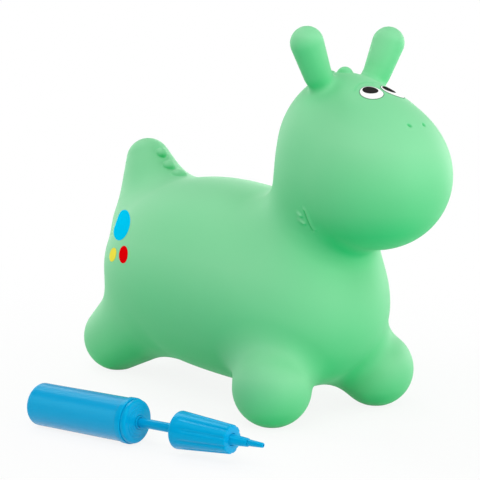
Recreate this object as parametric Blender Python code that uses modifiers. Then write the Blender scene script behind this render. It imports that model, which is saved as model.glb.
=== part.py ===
"""Inflatable ride-on dinosaur with its hand pump.

Metres, +Z up. The dinosaur faces -Y, its right side is -X and its four soles stand on Z = 0.
The origin is on the floor under the middle of the whole set, dinosaur and pump together.
"""
import math

import bmesh
import bpy
import numpy as np
from mathutils import Matrix, Vector

MM = 0.001

# Where the two things stand: the floor point under the saddle, and the pump's closed end.
DINO_AT = Vector((95.6, 42.4, 0)) * MM
PUMP_AT = Vector((-215.4, 51.4, 0)) * MM
PUMP_HEADING = math.radians(-72.5)

TOUCH_GAP = 0.3 * MM        # between pieces that touch on the real toy
MERGE = 0.01 * MM

# The blown vinyl skin.
WALL = 2.2 * MM
SOLE_WALL = 2.8 * MM
SKIN_VOXEL = 4.5 * MM
SLIVER = 0.3 * MM           # the skin's mesh has no shorter edges
SKIN_FACES = 5000
CAVITY_FACES = 1250

# Rounded masses of the skin, in mm from the floor point under the saddle:
# centre, radii, tilt about X in degrees. A mass off the middle plane has a twin on the other side.
BLOBS = {
    "rump": ((0, 88, 154), (140, 146, 124), 5),
    "chest": ((0, -96, 141), (120, 136, 114), 11),
    "cranium": ((0, -187, 336), (61, 67, 89), 0),
    "muzzle": ((0, -261, 308), (83, 86, 86), 0),
    "eye_mound": ((18.5, -258.5, 390.2), (23, 19.5, 7.5), 25),
}

# Limbs of the skin, in mm: first end and its radius, last end and its radius.
LIMBS = {
    "neck": ((0, -136, 190), 68, (0, -190, 336), 69),
    "fore_leg": ((43, -115, 97), 50, (86, -165, 46), 49),
    "hind_leg": ((52, 117, 108), 70, (71, 206, 46), 49),
    "tail": ((0, 196, 210), 66, (0, 230, 294), 32),
    "horn": ((48, -201, 427), 17, (65, -202, 463), 20),
}

# Half-round knobs in a row on the middle plane, in mm: centre, radii, tilt.
KNOBS = [
    ((0, -196, 424), (10, 11, 11), 0),
    ((0, -170, 420), (9, 10, 10), -10),
    ((0, -147, 407), (8, 9, 8), -35),
    ((0, 197, 305.5), (8.5, 8.5, 8.5), 45),
    ((0, 178, 288.5), (10, 9.5, 8.5), 35),
    ((0, 153.5, 277), (11.5, 12.5, 9), 12),
]

# How far the moulding fillets where two masses meet, in mm.
FILLETS = {
    "waist": 132, "neck": 47, "face": 81, "jaw": 32, "leg": 25, "tail": 48, "horn": 16, "eye": 8, "knob": 3,
}

# The air valve in the belly.
VALVE_Y = -10 * MM
BORE_RADIUS = 4.2 * MM
BOSS_RADIUS = 13 * MM
BOSS_HEIGHT = 14 * MM
RECESS_RADIUS = 10.5 * MM
RECESS_DEPTH = 1.8 * MM
PLUG_HEAD_RADIUS = 9.5 * MM
PLUG_HEAD_THICKNESS = 2.2 * MM
PLUG_STEM_RADIUS = 3.4 * MM
PLUG_BARB_RADIUS = 3.9 * MM
PLUG_STEM_LENGTH = 13 * MM

# Nostrils: two slanting dimples high on the muzzle.
NOSTRIL_AT = Vector((11, -319.5, 371)) * MM
NOSTRIL_RADII = Vector((2.2, 3.4, 2.0)) * MM

# Printed eyes and flank spots: place in mm, width, height, how far the print is turned, in degrees.
EYE_PRINT = dict(at=(17.1, -261.8, 406), width=27.8, height=34.3, turn=43)
PUPIL_PRINT = dict(at=(15.3, -257.8, 408.1), width=19.1, height=18.2, turn=17)
SPOT_PRINTS = {
    "blue_spot": dict(at=(113, 126.5, 220), width=74, height=36, turn=24),
    "yellow_spot": dict(at=(134, 118.5, 180.5), width=24.5, height=19, turn=-10),
    "red_spot": dict(at=(137.5, 86.5, 185), width=26.5, height=21, turn=36),
}
PRINT_THICKNESS = 0.4 * MM
PRINT_GAP = 0.5 * MM
PRINT_REACH = 60 * MM

# The hand pump, along its own axis from the closed end of the barrel.
BARREL_RADIUS = 26 * MM
BARREL_BORE = 23.5 * MM
BARREL_END_WALL = 3 * MM
BARREL_END_CURVE = 6 * MM
LIP_RADIUS = 27.2 * MM
LIP_START = 140 * MM
MOUTH = 148.5 * MM
CAP_BACK = 146.5 * MM
CAP_FACE = 157.5 * MM
CAP_HOLE = 8.3 * MM
SPIGOT_LENGTH = 14 * MM
PISTON_START = 62 * MM
PISTON_LENGTH = 10 * MM
SEAL_BOTTOM = 64.5 * MM
SEAL_TOP = 69 * MM
ROD_RADIUS = 5.5 * MM
ROD_BORE = 2.4 * MM
SOCKET_DEPTH = 34.3 * MM
GRIP_START = 215 * MM
GRIP_END = 289.5 * MM
GRIP_BIG_RADIUS = 22 * MM
GRIP_SMALL_RADIUS = 16.4 * MM
GRIP_EDGE = 4 * MM
FLUTES = 10
FLUTE_DEPTH = 1.3 * MM
CHAMBER_RADIUS = 7.2 * MM
CHAMBER_START = 265.5 * MM
AIR_BORE = 2.2 * MM
NOZZLE_SOCKET = 3.3 * MM
NOZZLE_STEP = 311 * MM
NOZZLE_END = 331 * MM
CHAMFER = 0.8 * MM
ROUND_STEPS = 32
SMALL_STEPS = 20


def clear_scene():
    for thing in list(bpy.data.objects):
        bpy.data.objects.remove(thing, do_unlink=True)


def make_collection(name):
    group = bpy.data.collections.new(name)
    bpy.context.scene.collection.children.link(group)
    return group


def srgb(code):
    """Linear colour of a hex sRGB code."""
    values = [int(code[i:i + 2], 16) / 255 for i in (0, 2, 4)]
    return [v / 12.92 if v <= 0.04045 else ((v + 0.055) / 1.055) ** 2.4 for v in values] + [1.0]


def make_material(name, code, roughness):
    finish = bpy.data.materials.new(name)
    finish.use_nodes = True
    shader = finish.node_tree.nodes["Principled BSDF"]
    shader.inputs["Base Color"].default_value = srgb(code)
    shader.inputs["Roughness"].default_value = roughness
    shader.inputs["Metallic"].default_value = 0.0
    finish.diffuse_color = srgb(code)
    return finish


def add_object(name, mesh, group, finish=None):
    thing = bpy.data.objects.new(name, mesh)
    group.objects.link(thing)
    if finish:
        mesh.materials.append(finish)
    return thing


def mesh_from(bm, name):
    mesh = bpy.data.meshes.new(name)
    bm.to_mesh(mesh)
    bm.free()
    return mesh


def evaluated_mesh(thing):
    """The mesh that an object's modifiers give, as a mesh of its own."""
    graph = bpy.context.evaluated_depsgraph_get()
    return bpy.data.meshes.new_from_object(thing.evaluated_get(graph), depsgraph=graph)


def as_cutter(thing):
    thing.hide_render = True
    thing.display_type = "WIRE"
    return thing


def cut(thing, cutter, operation="DIFFERENCE"):
    step = thing.modifiers.new(operation.lower() + " " + cutter.name, "BOOLEAN")
    step.operation = operation
    step.solver = "EXACT"
    step.object = cutter


def cylinder_cutter(name, radius, bottom, top, at, group, steps=24):
    bm = bmesh.new()
    place = Matrix.Translation((at.x, at.y, (bottom + top) / 2))
    bmesh.ops.create_cone(bm, cap_ends=True, segments=steps, radius1=radius, radius2=radius,
                          depth=top - bottom, matrix=place)
    return as_cutter(add_object(name, mesh_from(bm, name), group))


# The skin as one distance field: every mass swells into its neighbours, as a blown moulding does.

def blob_distance(points, centre, radii, tilt):
    offset = points - np.array(centre) * MM
    turn = math.radians(tilt)
    along = offset[:, 1] * math.cos(turn) + offset[:, 2] * math.sin(turn)
    up = offset[:, 2] * math.cos(turn) - offset[:, 1] * math.sin(turn)
    local = np.stack([offset[:, 0], along, up], axis=1)
    radii = np.array(radii) * MM
    reach = np.linalg.norm(local / radii, axis=1)
    slope = np.linalg.norm(local / radii ** 2, axis=1)
    return reach * (reach - 1) / np.maximum(slope, 1e-9)


def limb_distance(points, start, start_radius, end, end_radius):
    """Distance to a round cone, a ball at each end and a straight taper between."""
    start, end = np.array(start) * MM, np.array(end) * MM
    first, last = start_radius * MM, end_radius * MM
    axis = end - start
    length = float(np.linalg.norm(axis))
    axis = axis / length
    along = (points - start) @ axis
    out = np.linalg.norm(points - start - along[:, None] * axis, axis=1)
    lean = (first - last) / length
    flat = math.sqrt(max(1 - lean * lean, 0))
    # The nearest ball of the taper lies square to its side, not square to its axis.
    nearest = np.clip((along - out * lean / flat) / length, 0, 1)
    radius = first + (last - first) * nearest
    return np.hypot(along - nearest * length, out) - radius


def soft_union(first, second, fillet):
    fillet = fillet * MM
    near = np.maximum(fillet - np.abs(first - second), 0) / fillet
    return np.minimum(first, second) - near * near * fillet / 4


def both_sides(centre):
    """A mass on the middle plane stands alone; any other has a twin across it."""
    return (1, -1) if centre[0] else (1,)


def mirrored(point, side):
    return (point[0] * side, point[1], point[2])


def blend_blob(body, points, blob, fillet):
    centre, radii, tilt = blob
    for side in both_sides(centre):
        body = soft_union(body, blob_distance(points, mirrored(centre, side), radii, tilt), FILLETS[fillet])
    return body


def blend_limb(body, points, limb, fillet):
    start, start_radius, end, end_radius = limb
    for side in both_sides(end):
        reach = limb_distance(points, mirrored(start, side), start_radius, mirrored(end, side), end_radius)
        body = soft_union(body, reach, FILLETS[fillet])
    return body


def skin_distance(points):
    """How far points, measured from the dinosaur's own origin, lie outside the skin."""
    body = blob_distance(points, *BLOBS["rump"])
    body = blend_blob(body, points, BLOBS["chest"], "waist")
    body = blend_limb(body, points, LIMBS["neck"], "neck")
    head = blob_distance(points, *BLOBS["cranium"])
    head = blend_blob(head, points, BLOBS["muzzle"], "face")
    head = blend_blob(head, points, BLOBS["eye_mound"], "eye")
    body = soft_union(body, head, FILLETS["jaw"])
    for limb, fillet in (("fore_leg", "leg"), ("hind_leg", "leg"), ("tail", "tail"), ("horn", "horn")):
        body = blend_limb(body, points, LIMBS[limb], fillet)
    for knob in KNOBS:
        body = blend_blob(body, points, knob, "knob")
    return body


def skin_slope(points, step=0.2 * MM):
    slope = np.zeros_like(points)
    for axis in range(3):
        shift = np.zeros(3)
        shift[axis] = step
        slope[:, axis] = (skin_distance(points + shift) - skin_distance(points - shift)) / (2 * step)
    return slope


def settle(points, depth=0.0, rounds=4):
    """Move points onto the skin, or onto the surface that lies depth inside it."""
    for _ in range(rounds):
        slope = skin_slope(points)
        reach = np.maximum((slope ** 2).sum(axis=1), 0.2)
        points = points - slope * ((skin_distance(points) + depth) / reach)[:, None]
    return points


def on_skin(point):
    """The nearest point of the skin, and the way out there."""
    rows = settle(np.array([point], dtype=float), rounds=8)
    return Vector(rows[0]), Vector(skin_slope(rows)[0]).normalized()


def settle_mesh(mesh, depth=0.0):
    rows = np.empty(len(mesh.vertices) * 3)
    mesh.vertices.foreach_get("co", rows)
    mesh.vertices.foreach_set("co", settle(rows.reshape(-1, 3), depth).ravel())
    mesh.update()


def relax(mesh, rounds):
    bm = bmesh.new()
    bm.from_mesh(mesh)
    for _ in range(rounds):
        bmesh.ops.smooth_vert(bm, verts=bm.verts, factor=0.5, use_axis_x=True, use_axis_y=True, use_axis_z=True)
    bm.to_mesh(mesh)
    bm.free()


def keep_left_half(mesh):
    """Cut the mesh along the middle plane, with no slivers: points close to the plane move onto it."""
    close = 1 * MM
    bm = bmesh.new()
    bm.from_mesh(mesh)
    bmesh.ops.bisect_plane(bm, geom=bm.verts[:] + bm.edges[:] + bm.faces[:], dist=close,
                           plane_co=(0, 0, 0), plane_no=(1, 0, 0), clear_inner=True)
    for vert in bm.verts:
        if vert.co.x < close:
            vert.co.x = 0
    bm.to_mesh(mesh)
    bm.free()


def close_slivers(mesh):
    bm = bmesh.new()
    bm.from_mesh(mesh)
    bmesh.ops.remove_doubles(bm, verts=bm.verts, dist=SLIVER)
    bm.to_mesh(mesh)
    bm.free()


def rough_body():
    """Loose balls that fill every mass, for the voxel remesh to run together."""
    bm = bmesh.new()
    for centre, radii, tilt in list(BLOBS.values()) + KNOBS:
        for side in both_sides(centre):
            place = Matrix.Translation(Vector(mirrored(centre, side)) * MM)
            turn = Matrix.Rotation(math.radians(tilt), 4, "X")
            size = Matrix.Diagonal([*[r * MM for r in radii], 1])
            bmesh.ops.create_icosphere(bm, subdivisions=4, radius=1, matrix=place @ turn @ size)
    for start, start_radius, end, end_radius in LIMBS.values():
        for side in both_sides(end):
            for part in np.linspace(0, 1, 7):
                centre = Vector(start).lerp(Vector(end), part) * MM
                centre.x *= side
                radius = (start_radius + (end_radius - start_radius) * part) * MM
                bmesh.ops.create_icosphere(bm, subdivisions=3, radius=radius, matrix=Matrix.Translation(centre))
    return mesh_from(bm, "rough body")


def skin_surface(name, group, depth, faces):
    """A closed, even mesh on the skin, or depth inside it, the same on both sides."""
    mesh = rough_body()
    for _ in range(3):
        work = add_object(name + " work", mesh, group)
        remesh = work.modifiers.new("run together", "REMESH")
        remesh.mode = "VOXEL"
        remesh.voxel_size = SKIN_VOXEL
        mesh = evaluated_mesh(work)
        bpy.data.objects.remove(work)
        relax(mesh, 3)
        settle_mesh(mesh, depth)

    keep_left_half(mesh)
    work = add_object(name + " work", mesh, group)
    mirror = work.modifiers.new("both sides alike", "MIRROR")
    mirror.merge_threshold = MERGE
    thin = work.modifiers.new("fewer faces", "DECIMATE")
    thin.ratio = faces / (4 * len(mesh.polygons))
    thin.use_symmetry = True
    thin.symmetry_axis = "X"
    mesh = evaluated_mesh(work)
    bpy.data.objects.remove(work)
    close_slivers(mesh)
    mesh.shade_smooth()
    return mesh


def belly_height():
    point, _ = on_skin((0, VALVE_Y, 20 * MM))
    return point.z


def slab_under(name, bottom, top, group):
    """A slab under the whole dinosaur, to cut the soles flat."""
    bm = bmesh.new()
    size = Matrix.Diagonal((0.5, 0.9, top - bottom, 1))
    bmesh.ops.create_cube(bm, size=1, matrix=Matrix.Translation((0, 0, (bottom + top) / 2)) @ size)
    return as_cutter(add_object(name, mesh_from(bm, name), group))


def make_skin(surface, parts, cutters, finish):
    skin = add_object("body_skin", surface.copy(), parts, finish)
    cavity = as_cutter(add_object("air space", skin_surface("air space", cutters, WALL, CAVITY_FACES), cutters))
    belly = belly_height()
    valve = Vector((0, VALVE_Y, 0))
    below = -60 * MM            # where the cutters start, well under the floor
    cut(cavity, slab_under("sole walls", below, SOLE_WALL, cutters))
    boss_top = belly + BOSS_HEIGHT
    cut(cavity, cylinder_cutter("valve boss", BOSS_RADIUS, below, boss_top, valve, cutters))
    cut(skin, slab_under("floor", below, 0, cutters))
    cut(skin, cavity)
    recess_top = belly + RECESS_DEPTH
    cut(skin, cylinder_cutter("valve recess", RECESS_RADIUS, below, recess_top, valve, cutters, 28))
    cut(skin, cylinder_cutter("valve bore", BORE_RADIUS, below, boss_top + 6 * MM, valve, cutters, 20))
    for side in (1, -1):
        at = Vector((NOSTRIL_AT.x * side, NOSTRIL_AT.y, NOSTRIL_AT.z))
        point, out = on_skin(at)
        slant = Matrix.Rotation(math.radians(30 * side), 4, "Z")
        place = Matrix.Translation(point) @ out.to_track_quat("Z", "Y").to_matrix().to_4x4() @ slant
        bm = bmesh.new()
        bmesh.ops.create_uvsphere(bm, u_segments=10, v_segments=6, radius=1,
                                  matrix=place @ Matrix.Diagonal([*NOSTRIL_RADII, 1]))
        cut(skin, as_cutter(add_object(f"nostril {side}", mesh_from(bm, "nostril"), cutters)))
    weld = skin.modifiers.new("close slivers", "WELD")
    weld.merge_threshold = MERGE
    return skin


def film_over_skin(name, surface, height, group):
    """The whole skin again, as a film of print thickness that floats height above it."""
    film = as_cutter(add_object(name, surface.copy(), group))
    lift = film.modifiers.new("clear of the skin", "DISPLACE")
    lift.strength = height
    lift.mid_level = 0
    shell = film.modifiers.new("film", "SOLIDIFY")
    shell.thickness = PRINT_THICKNESS
    shell.offset = 1
    return film


def add_print(name, film, parts, finish, side, at, width, height, turn):
    """A print is the oval piece of film that a short cylinder, square to the skin, cuts out.

    Its height runs back over the head, or up the flank.
    """
    point, out = on_skin(Vector((at[0] * side, at[1], at[2])) * MM)
    guide = Vector((0, 1, 0)) if out.z > abs(out.x) else Vector((0, 0, 1))
    sideways = guide.cross(out).normalized()
    upward = out.cross(sideways)
    facing = Matrix((sideways, upward, out)).transposed().to_4x4()
    lean = Matrix.Rotation(math.radians(turn * side), 4, "Z")
    bm = bmesh.new()
    size = Matrix.Diagonal((width / 2 * MM, height / 2 * MM, 1, 1))
    bmesh.ops.create_cone(bm, cap_ends=True, segments=28, radius1=1, radius2=1, depth=PRINT_REACH, matrix=size)
    patch = add_object(name, mesh_from(bm, name), parts, finish)
    patch.matrix_world = Matrix.Translation(point) @ facing @ lean
    cut(patch, film, "INTERSECT")
    return patch


def add_prints(surface, parts, cutters, finishes):
    film = film_over_skin("print film", surface, PRINT_GAP, cutters)
    top_film = film_over_skin("second print film", surface, 2 * PRINT_GAP + PRINT_THICKNESS, cutters)
    for side, word in ((-1, "right"), (1, "left")):
        add_print(word + "_eye_white", film, parts, finishes["white"], side, **EYE_PRINT)
        add_print(word + "_pupil", top_film, parts, finishes["black"], side, **PUPIL_PRINT)
        for spot, shape in SPOT_PRINTS.items():
            add_print(f"{word}_{spot}", film, parts, finishes[spot], side, **shape)


def turned(name, profile, parts, finish, steps):
    """A turned piece about Z. The profile's outer side runs top to bottom."""
    closed = profile[0][0] > MERGE
    mesh = bpy.data.meshes.new(name)
    verts = [(radius, 0, height) for radius, height in profile]
    edges = [(i, i + 1) for i in range(len(verts) - 1)]
    if closed:
        edges.append((len(verts) - 1, 0))
    mesh.from_pydata(verts, edges, [])
    thing = add_object(name, mesh, parts, finish)
    screw = thing.modifiers.new("turn", "SCREW")
    screw.steps = steps
    screw.render_steps = steps
    screw.use_merge_vertices = True
    screw.merge_threshold = MERGE
    screw.use_smooth_shade = True
    return thing


def arc(radius, height, size, start, end, steps=4):
    """Points of a rounded corner, centred at radius and height, from one angle to another."""
    angles = [math.radians(start + (end - start) * i / steps) for i in range(steps + 1)]
    return [(radius + size * math.cos(a), height + size * math.sin(a)) for a in angles]


def plug_profile(belly):
    seat = belly + RECESS_DEPTH - TOUCH_GAP
    head = seat - PLUG_HEAD_THICKNESS
    tip = seat + PLUG_STEM_LENGTH
    profile = [(0, tip), (2.2 * MM, tip), (2.9 * MM, tip - 1 * MM)]
    for barb in (tip - 3.5 * MM, tip - 8 * MM):
        profile += [(PLUG_STEM_RADIUS, barb + 1.2 * MM), (PLUG_BARB_RADIUS, barb), (PLUG_STEM_RADIUS, barb - 0.4 * MM)]
    profile += [(PLUG_STEM_RADIUS, seat)]
    profile += [(PLUG_HEAD_RADIUS - 0.6 * MM, seat), (PLUG_HEAD_RADIUS, seat - 0.6 * MM)]
    profile += arc(PLUG_HEAD_RADIUS - 1 * MM, head + 1 * MM, 1 * MM, 0, -90, 3)
    return profile + [(3 * MM, head), (0, head + 0.6 * MM)]


def barrel_profile():
    profile = [(0, BARREL_END_WALL), (BARREL_BORE - 3 * MM, BARREL_END_WALL)]
    profile += [(BARREL_BORE, BARREL_END_WALL + 3 * MM), (BARREL_BORE, MOUTH)]
    profile += [(LIP_RADIUS - CHAMFER, MOUTH), (LIP_RADIUS, MOUTH - CHAMFER), (LIP_RADIUS, LIP_START + CHAMFER)]
    profile += [(BARREL_RADIUS, LIP_START)]
    profile += arc(BARREL_RADIUS - BARREL_END_CURVE, BARREL_END_CURVE, BARREL_END_CURVE, 0, -90, 5)
    return profile + [(0, 0)]


def end_cap_profile():
    """A plug with a spigot in the barrel, a rounded rim and stepped rings on its face."""
    shoulder = MOUTH + TOUCH_GAP
    edge, step = 5 * MM, 0.8 * MM
    outer, spigot = BARREL_RADIUS - 0.2 * MM, BARREL_BORE - TOUCH_GAP
    profile = [(CAP_HOLE, CAP_FACE)]
    for i, radius in enumerate((11 * MM, 14.5 * MM, 18 * MM)):
        profile += [(radius, CAP_FACE - i * step), (radius + 0.5 * MM, CAP_FACE - (i + 1) * step)]
    profile += arc(outer - edge, CAP_FACE - 3 * step - edge, edge, 90, 0, 4)
    profile += [(outer, shoulder), (spigot, shoulder), (spigot, MOUTH - SPIGOT_LENGTH)]
    inside = spigot - 2.5 * MM
    return profile + [(inside, MOUTH - SPIGOT_LENGTH), (inside, CAP_BACK), (CAP_HOLE, CAP_BACK)]


def bush_profile():
    """The bush that guides the rod through the cap, clipped behind it by a flange."""
    outer, inner, flange = CAP_HOLE - TOUCH_GAP, ROD_RADIUS + TOUCH_GAP, 10 * MM
    top, under_cap = CAP_FACE + 1.2 * MM, CAP_BACK - TOUCH_GAP
    return [(inner, top), (outer - CHAMFER, top), (outer, top - CHAMFER), (outer, under_cap), (flange, under_cap),
            (flange, under_cap - 1.8 * MM), (inner, under_cap - 1.8 * MM)]


def piston_profile():
    outer, inner = BARREL_BORE - 0.4 * MM, ROD_RADIUS + TOUCH_GAP
    groove = outer - 4 * MM
    top, bottom = PISTON_START + PISTON_LENGTH, PISTON_START
    return [(inner, top), (outer - CHAMFER, top), (outer, top - CHAMFER), (outer, SEAL_TOP), (groove, SEAL_TOP),
            (groove, SEAL_BOTTOM), (outer, SEAL_BOTTOM), (outer, bottom + CHAMFER), (outer - CHAMFER, bottom),
            (inner, bottom)]


def cup_seal_profile():
    """A cup whose lips spread towards the closed end, in the piston's groove."""
    inner = BARREL_BORE - 4.4 * MM + TOUCH_GAP
    lip = BARREL_BORE - TOUCH_GAP
    top = SEAL_TOP - TOUCH_GAP
    bottom = SEAL_BOTTOM + TOUCH_GAP
    return [(inner, top), (lip - 1 * MM, top), (lip, bottom + 1 * MM), (lip, bottom),
            (lip - 1.2 * MM, bottom), (lip - 1.8 * MM, top - 1.4 * MM), (inner, top - 1.4 * MM)]


def rod_profile():
    start, end = PISTON_START, GRIP_START + SOCKET_DEPTH - TOUCH_GAP
    return [(ROD_BORE, end), (ROD_RADIUS - 0.6 * MM, end), (ROD_RADIUS, end - 0.6 * MM), (ROD_RADIUS, start),
            (ROD_BORE, start)]


def grip_profile():
    """A hollow cone with a long socket for the rod and a chamber for the outlet valve at its small end."""
    socket = ROD_RADIUS + TOUCH_GAP
    rod_end = GRIP_START + SOCKET_DEPTH
    profile = [(CHAMBER_RADIUS, GRIP_END)]
    profile += arc(GRIP_SMALL_RADIUS - 1.5 * MM, GRIP_END - 1.5 * MM, 1.5 * MM, 90, 0, 2)
    rings = 6
    for i in range(1, rings):
        part = i / rings
        radius = GRIP_SMALL_RADIUS + (GRIP_BIG_RADIUS - GRIP_SMALL_RADIUS) * part
        profile.append((radius, GRIP_END + (GRIP_START + GRIP_EDGE - GRIP_END) * part))
    profile += arc(GRIP_BIG_RADIUS - GRIP_EDGE, GRIP_START + GRIP_EDGE, GRIP_EDGE, 0, -90, 4)
    profile += [(socket, GRIP_START), (socket, rod_end), (AIR_BORE, rod_end)]
    return profile + [(AIR_BORE, CHAMBER_START), (CHAMBER_RADIUS, CHAMBER_START)]


def flute(grip):
    """Press shallow lengthwise hollows into the grip's cone, fading out before its big end."""
    mesh = evaluated_mesh(grip)
    grip.modifiers.clear()
    fade_start, fade_end = GRIP_START + 8 * MM, GRIP_START + 16 * MM
    for vert in mesh.vertices:
        radius = math.hypot(vert.co.x, vert.co.y)
        if radius < CHAMBER_RADIUS + 1 * MM:
            continue
        angle = math.atan2(vert.co.y, vert.co.x)
        strength = min(max((vert.co.z - fade_start) / (fade_end - fade_start), 0), 1)
        hollow = FLUTE_DEPTH * strength * (0.5 + 0.5 * math.cos(FLUTES * angle)) ** 2
        vert.co.x *= 1 - hollow / radius
        vert.co.y *= 1 - hollow / radius
    grip.data = mesh


def valve_disc_profile():
    bottom = CHAMBER_START + TOUCH_GAP
    return [(0, bottom + 1.2 * MM), (5.4 * MM, bottom + 1.2 * MM), (5.8 * MM, bottom + 0.8 * MM), (5.8 * MM, bottom),
            (0, bottom)]


def nozzle_base_profile():
    outer = CHAMBER_RADIUS - TOUCH_GAP
    bottom = CHAMBER_START + 4.5 * MM
    socket_bottom = NOZZLE_STEP - 9 * MM
    return [(NOZZLE_SOCKET, NOZZLE_STEP), (4.4 * MM, NOZZLE_STEP), (4.8 * MM, NOZZLE_STEP - 0.5 * MM),
            (6.4 * MM, GRIP_END + 0.4 * MM), (outer, GRIP_END - 0.4 * MM), (outer, bottom), (AIR_BORE, bottom),
            (AIR_BORE, socket_bottom), (NOZZLE_SOCKET, socket_bottom)]


def nozzle_tip_profile():
    spigot, bore, edge = NOZZLE_SOCKET - TOUCH_GAP, 1.2 * MM, 1 * MM
    shoulder = NOZZLE_STEP + TOUCH_GAP
    spigot_end = NOZZLE_STEP - 9 * MM + TOUCH_GAP
    return ([(bore, NOZZLE_END)] + arc(2.8 * MM - edge, NOZZLE_END - edge, edge, 90, 0, 3)
            + [(3.9 * MM, shoulder), (spigot, shoulder), (spigot, spigot_end), (bore, spigot_end)])


def pump_frame():
    """The pump's axis: it lies on its lip and its closed end, so the mouth is a little higher."""
    rise = math.asin((LIP_RADIUS - BARREL_RADIUS) / (LIP_START - BARREL_END_CURVE))
    lay_down = Matrix.Rotation(math.radians(90) - rise, 4, "Y")
    height = BARREL_RADIUS * math.cos(rise) - BARREL_END_CURVE * math.sin(rise)
    at = Vector((PUMP_AT.x, PUMP_AT.y, height))
    return Matrix.Translation(at) @ Matrix.Rotation(PUMP_HEADING, 4, "Z") @ lay_down


def make_pump(parts, finish, soft):
    barrel = turned("pump_barrel", barrel_profile(), parts, finish, ROUND_STEPS)
    cap = turned("pump_end_cap", end_cap_profile(), parts, finish, ROUND_STEPS)
    bush = turned("rod_guide_bush", bush_profile(), parts, finish, SMALL_STEPS)
    rod = turned("pump_rod", rod_profile(), parts, finish, SMALL_STEPS)
    piston = turned("piston", piston_profile(), parts, finish, ROUND_STEPS)
    seal = turned("piston_cup_seal", cup_seal_profile(), parts, soft, ROUND_STEPS)
    grip = turned("pump_grip", grip_profile(), parts, finish, FLUTES * 4)
    flute(grip)
    disc = turned("outlet_valve_disc", valve_disc_profile(), parts, soft, SMALL_STEPS)
    base = turned("nozzle_base", nozzle_base_profile(), parts, finish, SMALL_STEPS)
    tip = turned("nozzle_tip", nozzle_tip_profile(), parts, finish, SMALL_STEPS)
    axis = bpy.data.objects.new("pump_axis", None)
    parts.objects.link(axis)
    axis.matrix_world = pump_frame()
    stroke = bpy.data.objects.new("pump_stroke", None)
    parts.objects.link(stroke)
    stroke.parent = axis
    for piece in (barrel, cap, bush):
        piece.parent = axis
    for piece in (rod, piston, seal, grip, disc, base, tip):
        piece.parent = stroke


def main():
    clear_scene()
    parts = make_collection("ride_on_dinosaur")
    cutters = make_collection("cutters")
    vinyl = make_material("green vinyl", "7FD59A", 0.55)
    finishes = {
        "white": make_material("white print", "F6F8F5", 0.5),
        "black": make_material("black print", "353333", 0.5),
        "blue_spot": make_material("blue print", "01C8F2", 0.5),
        "yellow_spot": make_material("yellow print", "F5E750", 0.5),
        "red_spot": make_material("red print", "E50209", 0.5),
    }
    plastic = make_material("blue plastic", "02AEDE", 0.3)
    rubber = make_material("black rubber", "2B2B2B", 0.7)
    stopper = make_material("white stopper", "EDEFEA", 0.45)

    surface = skin_surface("skin surface", cutters, 0, SKIN_FACES)
    make_skin(surface, parts, cutters, vinyl)
    add_prints(surface, parts, cutters, finishes)
    plug = turned("valve_plug", plug_profile(belly_height()), parts, stopper, SMALL_STEPS)
    plug.location = (0, VALVE_Y, 0)
    bpy.context.view_layer.update()
    for thing in list(parts.objects) + list(cutters.objects):
        thing.matrix_world = Matrix.Translation(DINO_AT) @ thing.matrix_world
    make_pump(parts, plastic, rubber)


main()
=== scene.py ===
"""Looks of the inflatable ride-on dinosaur and its hand pump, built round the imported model.

Metres, +Z up. The dinosaur faces -Y and its right side is -X.
"""
import math

import bmesh
import bpy
import numpy as np
from mathutils import Matrix, Vector


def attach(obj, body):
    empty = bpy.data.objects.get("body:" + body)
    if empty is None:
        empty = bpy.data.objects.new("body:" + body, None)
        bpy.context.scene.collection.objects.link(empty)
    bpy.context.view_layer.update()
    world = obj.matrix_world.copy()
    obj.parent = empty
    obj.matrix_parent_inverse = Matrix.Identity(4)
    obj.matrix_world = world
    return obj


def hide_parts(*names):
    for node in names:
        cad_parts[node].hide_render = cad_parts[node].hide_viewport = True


MM = 0.001

# Where the two things stand: the floor point under the saddle, and the pump's closed end.
DINO_AT = Vector((95.6, 42.4, 0)) * MM
PUMP_AT = Vector((-215.4, 51.4, 0)) * MM
PUMP_HEADING = math.radians(-72.5)

# Rounded masses of the skin, in mm from the floor point under the saddle:
# centre, radii, tilt about X in degrees. A mass off the middle plane has a twin on the other side.
BLOBS = {
    "rump": ((0, 88, 154), (140, 146, 124), 5),
    "chest": ((0, -96, 141), (120, 136, 114), 11),
    "cranium": ((0, -187, 336), (61, 67, 89), 0),
    "muzzle": ((0, -261, 308), (83, 86, 86), 0),
    "eye_mound": ((18.5, -258.5, 390.2), (23, 19.5, 7.5), 25),
}

# Limbs of the skin, in mm: first end and its radius, last end and its radius.
LIMBS = {
    "neck": ((0, -136, 190), 68, (0, -190, 336), 69),
    "fore_leg": ((43, -115, 97), 50, (86, -165, 46), 49),
    "hind_leg": ((52, 117, 108), 70, (71, 206, 46), 49),
    "tail": ((0, 196, 210), 66, (0, 230, 294), 32),
    "horn": ((48, -201, 427), 17, (65, -202, 463), 20),
}

# Half-round knobs in a row on the middle plane, in mm: centre, radii, tilt.
KNOBS = [
    ((0, -196, 424), (10, 11, 11), 0),
    ((0, -170, 420), (9, 10, 10), -10),
    ((0, -147, 407), (8, 9, 8), -35),
    ((0, 197, 305.5), (8.5, 8.5, 8.5), 45),
    ((0, 178, 288.5), (10, 9.5, 8.5), 35),
    ((0, 153.5, 277), (11.5, 12.5, 9), 12),
]

# How far the moulding fillets where two masses meet, in mm.
FILLETS = {
    "waist": 132, "neck": 47, "face": 81, "jaw": 32, "leg": 25, "tail": 48, "horn": 16,
    "eye": 8, "knob": 1.5,
}

# The skin's mesh, in mm: a first one that joins the masses, and a second, more even one.
FIRST_MESH = 4
SECOND_MESH = 3.3
# Points closer to the middle plane than this are put on it, in mm.
MIDDLE_SNAP = 0.7

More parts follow.
